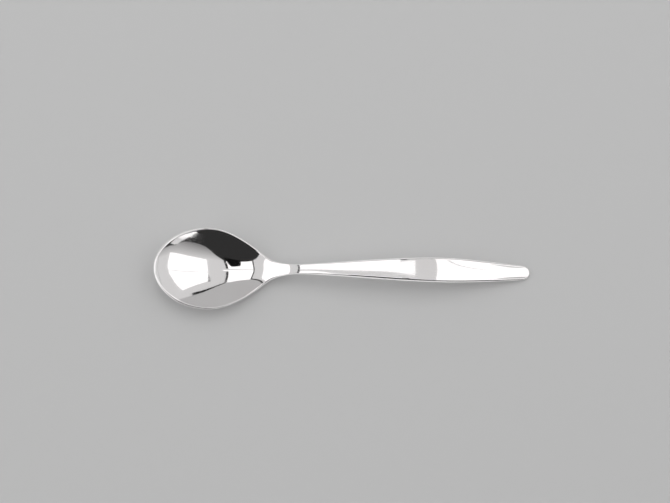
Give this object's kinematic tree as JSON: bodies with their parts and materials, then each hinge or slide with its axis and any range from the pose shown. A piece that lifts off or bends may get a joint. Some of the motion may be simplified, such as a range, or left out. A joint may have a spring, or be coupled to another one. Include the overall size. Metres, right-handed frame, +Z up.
{
  "type": "demitasse spoon",
  "caption": "Small polished silver coffee spoon with a deep egg-shaped bowl, a slim stem and an arched leaf-shaped handle, for stirring a demitasse.",
  "frame": {"origin": "centre of the bounding box in plan, on the surface that the spoon lies on", "axes": "+X from the tip of the bowl towards the end of the handle, +Y across the spoon, +Z up out of the bowl"},
  "size_m": [0.108, 0.0234, 0.0093],
  "materials": {
    "polished_silver": "mirror polished sterling silver with fine wiping scratches",
    "silver_solder": "hard silver solder, polished flush"
  },
  "bodies": {
    "root": {"bowl": "polished_silver", "handle": "polished_silver", "solder_seam": "silver_solder"}
  },
  "joints": []
}
